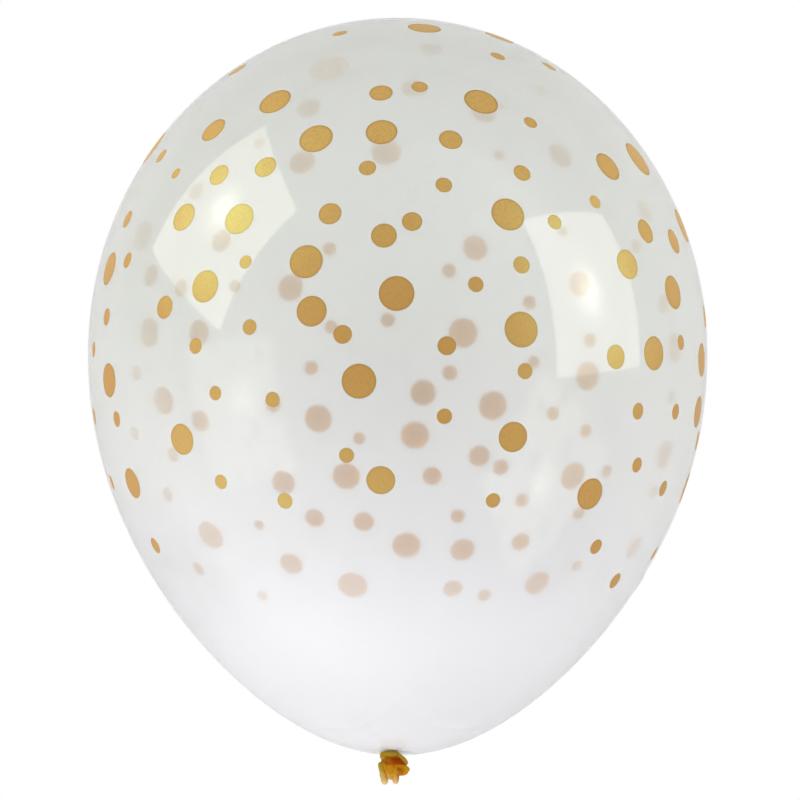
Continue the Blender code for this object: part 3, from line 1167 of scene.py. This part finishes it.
@dataclass(frozen=True)
class Knot:
    """The knotted neck: two turns round it, a pinched bend, and a tail of pleats and lobes."""

    turns: tuple[Turn, ...] = (
        Turn("collar", (-3.3, -0.9), 5.3, 3.0, 2.9, -5.0),
        Turn("wrap", (-2.6, -3.6), 5.2, 4.6, 4.4, -12.0),
    )
    strands: tuple[Strand, ...] = (
        Strand("root", ((-3.4, 1.3, 0), (-3.4, -3.0, 0)), 8.0, 7.4, 4.0),
        Strand("core", ((-3.2, -0.4, 0), (-3.2, -4.0, 0), (-3.0, -10.0, 1.0)), 9.6, 7.2, 4.0),
        Strand("left_body", ((-5.2, -3.2, 1.2), (-6.6, -8.0, 1.8), (-6.2, -13.2, 1.4)), 5.0, 3.8),
        Strand("middle_body", ((-3.4, -4.0, 1.6), (-2.9, -8.8, 2.2), (-2.3, -12.0, 1.6)), 7.2, 4.6),
        Strand("right_body", ((-3.2, -8.0, 1.6), (1.6, -8.3, 2.2), (4.7, -8.2, 1.2)), 5.6, 4.2),
        Strand("left_fold", ((-8.1, -1.9, 0.6), (-7.8, -2.1, 2.6), (-5.6, -2.3, 4.3)), 1.5, 1.7),
        Strand("right_cord", ((0.2, -1.5, 3.8), (2.8, -2.2, 3.6), (4.7, -5.2, 0.6)), 1.9, 2.0),
        Strand("bend", ((-6.6, -3.4, 1.8), (-1.0, -4.4, 5.2), (4.6, -5.0, 0.4)), 4.6, 4.6, 2.0),
        Strand(
            "left_lobe", ((-8.1, -4.6, 1.3), (-8.0, -7.2, 2.8), (-6.4, -10.0, 2.8), (-6.2, -13.6, 0.6)),
            3.2, 3.2, 4.0,
        ),
        Strand("left_tip", ((-6.9, -8.6, 2.4), (-6.1, -11.6, 2.4), (-6.2, -14.6, -0.8)), 3.8, 3.4),
        Strand("left_pleat", ((-6.6, -4.4, 3.3), (-5.0, -8.8, 3.7), (-3.6, -12.9, 2.1)), 2.0, 2.2),
        Strand("middle_pleat", ((-3.6, -4.6, 3.6), (-3.2, -8.0, 3.6), (-3.0, -12.6, 1.9)), 4.6, 2.6),
        Strand("right_pleat", ((0.2, -4.6, 3.6), (-1.4, -8.4, 4.0), (-2.7, -12.6, 2.1)), 1.9, 2.2),
        Strand("lower_lobe", ((-1.9, -8.0, 2.6), (-0.7, -11.0, 3.2), (-1.1, -14.4, -0.8)), 3.5, 3.2),
        Strand("right_upper", ((-1.4, -6.3, 3.2), (2.4, -6.0, 3.7), (5.5, -8.6, 1.4)), 2.8, 2.8),
        Strand("right_lower", ((-1.8, -8.9, 3.0), (1.0, -9.6, 3.6), (4.8, -9.2, 1.2)), 3.0, 2.8),
        Strand("back_left", ((-6.0, -5.0, -2.8), (-5.8, -8.6, -2.6), (-5.4, -12.6, -0.6)), 3.0, 3.0),
        Strand("back_middle", ((-3.4, -5.0, -3.4), (-3.2, -8.4, -3.2), (-3.0, -12.4, -1.0)), 3.0, 2.8),
        Strand("back_right", ((-0.8, -5.0, -2.8), (-0.2, -8.0, -2.6), (-0.6, -11.4, -0.6)), 3.0, 3.0),
    )
    tube_sides: int = 20
    curve_steps: int = 26
    ring_steps: int = 72
    turn_depth_share: float = 0.86
    look_ahead: float = 0.01
    grain: float = 0.00021
    smoothing: int = 16
    tints: KnotTints = KnotTints()

    def build(self, lying: Matrix, finish: AmberLatex) -> bpy.types.Object:
        """Makes the knot as one fused piece of latex.

        Args:
            lying: The matrix from the upright frame to the scene.
            finish: The finish of the knot.

        Returns:
            The finished knot.
        """
        tubes = bmesh.new()
        for turn in self.turns:
            self.add_turn(tubes, turn)
        for strand in self.strands:
            self.add_strand(tubes, strand)
        LOG.info("knot: %s", ", ".join(part.name for part in (*self.turns, *self.strands)))
        bmesh.ops.recalc_face_normals(tubes, faces=tubes.faces)
        mesh = bpy.data.meshes.new("knot")
        tubes.to_mesh(mesh)
        tubes.free()
        knot = new_object("knot", mesh)
        fuse = knot.modifiers.new("fuse", "REMESH")
        fuse.mode = "VOXEL"
        fuse.voxel_size = self.grain
        fuse.use_smooth_shade = True
        knot.modifiers.new("soften", "SMOOTH").iterations = self.smoothing
        settle(knot)
        self.tints.mark(knot.data)
        knot.data.transform(lying)
        knot.data.materials.clear()
        knot.data.materials.append(finish.build())
        return knot

    def ring(
        self, tubes: bmesh.types.BMesh, centre: Vector, side: Vector, rise: Vector
    ) -> list[bmesh.types.BMVert]:
        """Adds one oval ring of points.

        Args:
            tubes: The mesh that gets them.
            centre: The ring's centre, in millimetres.
            side: From the centre to the ring's side.
            rise: From the centre to the ring's top.

        Returns:
            The points in order.
        """
        found = []
        for step in range(self.tube_sides):
            angle = math.tau * step / self.tube_sides
            place = centre + side * math.cos(angle) + rise * math.sin(angle)
            found.append(tubes.verts.new(place / MM))
        return found

    @staticmethod
    def bridge(
        tubes: bmesh.types.BMesh, first: list[bmesh.types.BMVert], second: list[bmesh.types.BMVert]
    ) -> None:
        """Adds the faces between two rings.

        Args:
            tubes: The mesh that gets them.
            first: One ring.
            second: The next ring.
        """
        for here in range(len(first)):
            after = (here + 1) % len(first)
            tubes.faces.new((first[here], first[after], second[after], second[here]))

    def add_turn(self, tubes: bmesh.types.BMesh, turn: Turn) -> None:
        """Adds a turn of latex, lower at its right where its slant is below 0.

        Args:
            tubes: The mesh that gets it.
            turn: The turn.
        """
        lean = Matrix.Rotation(math.radians(turn.slant), 3, "Z")
        centre = Vector((*turn.centre, 0))
        rings = []
        for step in range(self.ring_steps):
            angle = math.tau * step / self.ring_steps
            out = Vector((math.cos(angle), 0, math.sin(angle)))
            place = out * (turn.reach - turn.thickness / 2)
            place.z *= self.turn_depth_share
            side = lean @ out * (turn.thickness / 2)
            rise = lean @ Vector((0, turn.height / 2, 0))
            rings.append(self.ring(tubes, centre + lean @ place, side, rise))
        for first, second in zip(rings, rings[1:] + rings[:1]):
            self.bridge(tubes, first, second)

    def add_strand(self, tubes: bmesh.types.BMesh, strand: Strand) -> None:
        """Adds a roll, pleat or lobe.

        Args:
            tubes: The mesh that gets it.
            strand: The strand.
        """
        rings = []
        for step in range(1, self.curve_steps):
            share = (1 - math.cos(math.pi * step / self.curve_steps)) / 2
            place = self.along(strand.points, share)
            ahead = self.along(strand.points, min(share + self.look_ahead, 1.0))
            behind = self.along(strand.points, max(share - self.look_ahead, 0.0))
            way = (ahead - behind).normalized()
            side = way.cross(Vector((0, 0, 1))).normalized()
            full = (1 - abs(2 * share - 1) ** strand.fullness) ** (1 / strand.fullness)
            rise = side.cross(way) * (strand.depth / 2 * full)
            rings.append(self.ring(tubes, place, side * (strand.width / 2 * full), rise))
        for first, second in zip(rings, rings[1:]):
            self.bridge(tubes, first, second)
        for ring, end in ((rings[0], strand.points[0]), (rings[-1], strand.points[-1])):
            tip = tubes.verts.new(Vector(end) / MM)
            for here in range(len(ring)):
                tubes.faces.new((ring[here], ring[(here + 1) % len(ring)], tip))

    @staticmethod
    def along(points: tuple[Place, ...], share: float) -> Vector:
        """Finds a place on the smooth curve that the points pull towards them.

        Args:
            points: The curve's control points.
            share: 0 at its start and 1 at its end.

        Returns:
            The place.
        """
        pulled = [Vector(point) for point in points]
        while len(pulled) > 1:
            pulled = [a.lerp(b, share) for a, b in zip(pulled, pulled[1:])]
        return pulled[0]


@dataclass(frozen=True)
class Softbox:
    """A softbox with a brighter core, which only its reflection and its light show."""

    name: str
    centre: Place
    facing: Place
    upward: Place
    width: float
    height: float
    core_gain: float = 2.3
    radiance: float = 1.50
    core_reach: float = 0.12
    core_place: Span = (0.5, 0.5)
    lean: Span = (0.0, 0.0)
    colour: Colour = (1.0, 1.0, 0.80)

    def build(self) -> bpy.types.Object:
        """Makes the lamp.

        Returns:
            The lamp's object.
        """
        lamp = bpy.data.lights.new(self.name, "AREA")
        lamp.shape = "RECTANGLE"
        lamp.size = self.width
        lamp.size_y = self.height
        lamp.energy = self.radiance * POWER_SHARE * self.width * self.height
        lamp.color = self.colour
        lamp.use_nodes = True
        wiring = Wiring(lamp.node_tree)
        across = wiring.node("ShaderNodeNewGeometry").outputs["Parametric"]
        offset = wiring.vector("SUBTRACT", across, (*self.core_place, 0.0))
        flat = wiring.vector("MULTIPLY", offset, (1.0, 1.0, 0.0))
        core = wiring.bell(wiring.measure("LENGTH", flat), self.core_reach)
        centred = wiring.vector("SUBTRACT", across, (0.5, 0.5, 0.0))
        even = wiring.measure("DOT_PRODUCT", centred, (*self.lean, 0.0))
        strength = wiring.math("MULTIPLY_ADD", core, self.core_gain, wiring.math("ADD", even, 1.0))
        wiring.feed(lamp.node_tree.nodes["Emission"], {"Strength": strength})
        thing = new_object(self.name, lamp)
        back = -Vector(self.facing).normalized()
        side = Vector(self.upward).cross(back).normalized()
        turn = Matrix((side, back.cross(side), back)).transposed()
        thing.matrix_world = Matrix.Translation(self.centre) @ turn.to_4x4()
        thing.visible_camera = False
        return thing


@dataclass(frozen=True)
class Studio:
    """A plain bright floor, soft room light and two softboxes beside the balloon."""

    floor_side: float = 40.0
    floor_glow: float = 0.86
    floor_glow_far: float = 0.59
    seen_light: float = 1.0
    near_reach: float = 0.22
    far_reach: float = 0.90
    room_colour: Colour = (1.0, 1.0, 1.0)
    horizon_light: float = 0.42
    overhead_light: float = 0.54
    side_lights: tuple[Place, ...] = ((-0.47, -0.8827, 1.95), (0.98, -0.199, 0.30))
    lens_shade: float = 0.42
    lens_shade_power: float = 8.0
    softboxes: tuple[Softbox, ...] = (
        Softbox(
            "left_softbox", (-0.634, 0.414, 0.459), (0.919, -0.268, -0.290), (0.389, 0.738, 0.551),
            0.625, 0.590, core_gain=1.9, lean=(0.5, 0.1),
        ),
        Softbox(
            "right_softbox", (0.740, 0.204, 0.416), (-0.796, 0.153, -0.586), (-0.087, 0.928, 0.361),
            0.593, 0.557, core_gain=2.2, core_place=(0.36, 0.44), lean=(-0.4, 0.1),
            colour=(1.0, 1.0, 0.86),
        ),
    )

    def build(self, toward_lens: Vector) -> None:
        """Makes the floor, the room light and the lamps.

        Args:
            toward_lens: The direction from the balloon to the camera.
        """
        self.floor()
        self.room(toward_lens)
        for softbox in self.softboxes:
            softbox.build()

    def floor(self) -> None:
        """Makes the floor, a light table that is brighter to look at than the light it gives."""
        half = self.floor_side / 2
        corners = [(-half, -half, 0), (half, -half, 0), (half, half, 0), (-half, half, 0)]
        mesh = bpy.data.meshes.new("floor")
        mesh.from_pydata(corners, [], [(0, 1, 2, 3)])
        material = bpy.data.materials.new("floor")
        material.use_nodes = True
        material.node_tree.nodes.remove(material.node_tree.nodes["Principled BSDF"])
        wiring = Wiring(material.node_tree)
        place = wiring.node("ShaderNodeTexCoord").outputs["Object"]
        distance = wiring.measure("LENGTH", place)
        reach = (self.near_reach, self.far_reach)
        away = wiring.ramp(distance, *reach, self.floor_glow, self.floor_glow_far)
        wash = wiring.math("MULTIPLY", self.wash(wiring, place), wiring.ramp(distance, *reach))
        glow = self.seen(wiring, wiring.math("ADD", away, wash))
        shine = wiring.out("ShaderNodeEmission", {"Strength": glow})
        wiring.feed(material.node_tree.nodes["Material Output"], {"Surface": shine})
        mesh.materials.append(material)
        new_object("floor", mesh)

    def seen(self, wiring: Wiring, given: Socket) -> Socket:
        """Adds the choice between the light that the camera sees and the light that is given."""
        to_camera = wiring.node("ShaderNodeLightPath").outputs["Is Camera Ray"]
        return wiring.out("ShaderNodeMix", {0: to_camera, 2: given, 3: self.seen_light}, data_type="FLOAT")

    def wash(self, wiring: Wiring, place: Socket) -> Socket:
        """Works out the extra light that comes from two sides of the room.

        Args:
            wiring: The tree that gets the nodes.
            place: A direction, or a place on the floor.

        Returns:
            The socket with the light.
        """
        toward = wiring.vector("NORMALIZE", place)
        total = 0.0
        for x, y, light in self.side_lights:
            share = wiring.measure("DOT_PRODUCT", toward, (x, y, 0.0))
            bell = wiring.math("POWER", wiring.math("MAXIMUM", share, 0.0), 2.0)
            total = wiring.math("MULTIPLY_ADD", bell, light, total)
        return total

    def room(self, toward_lens: Vector) -> None:
        """Lights the room softly from all sides, and most from the side that the neck is on.

        Args:
            toward_lens: The direction to the camera, where the room is dimmer.
        """
        world = bpy.data.worlds.new("room")
        world.use_nodes = True
        wiring = Wiring(world.node_tree)
        direction = wiring.node("ShaderNodeTexCoord").outputs["Generated"]
        above = wiring.math("MAXIMUM", wiring.split(direction)[2], 0.0)
        overhead = wiring.math("SQRT", above)
        even = wiring.math("MULTIPLY_ADD", overhead, self.overhead_light, self.horizon_light)
        beside = wiring.measure("DOT_PRODUCT", direction, tuple(toward_lens))
        dark = wiring.math("POWER", wiring.math("MAXIMUM", beside, 0.0), self.lens_shade_power)
        dimmed = wiring.math("MULTIPLY_ADD", dark, -self.lens_shade, 1.0)
        low = wiring.math("SUBTRACT", 1.0, above)
        wash = wiring.math("MULTIPLY", self.wash(wiring, direction), low)
        light = self.seen(wiring, wiring.math("MULTIPLY_ADD", even, dimmed, wash))
        inputs = {"Color": self.room_colour, "Strength": light}
        wiring.feed(world.node_tree.nodes["Background"], inputs)
        bpy.context.scene.world = world
        bpy.context.scene.view_settings.view_transform = "Standard"


def dress(piece: bpy.types.Object) -> None:
    """Ties a finished piece to the balloon's body.

    Args:
        piece: The piece.
    """
    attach(piece, BODY)
    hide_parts(CAD_NODE)
    LOG.info("%s: %d faces", piece.name, len(piece.data.polygons))


def main() -> None:
    """Builds the balloon, its print, its knot and the studio."""
    logging.basicConfig(level=logging.INFO, format="%(name)s %(message)s")
    form = BalloonForm()
    lying = form.lying(*CAD_BOX)
    widest = lying @ form.widest()
    view = PhotoView()
    camera = view.build(widest)
    skin = Skin(form, lying)
    surface = skin.surface()
    confetti = ConfettiPrint()
    spots = confetti.spots(view, camera.location, surface)
    dress(confetti.build(spots, surface, GoldInk()))
    dress(skin.build(surface, ClearLatex()))
    dress(NeckBloom().build(surface, MilkyLatex()))
    dress(Knot().build(lying, AmberLatex()))
    bpy.data.objects.remove(surface)
    Studio().build(view.back())


if __name__ == "__main__":
    main()
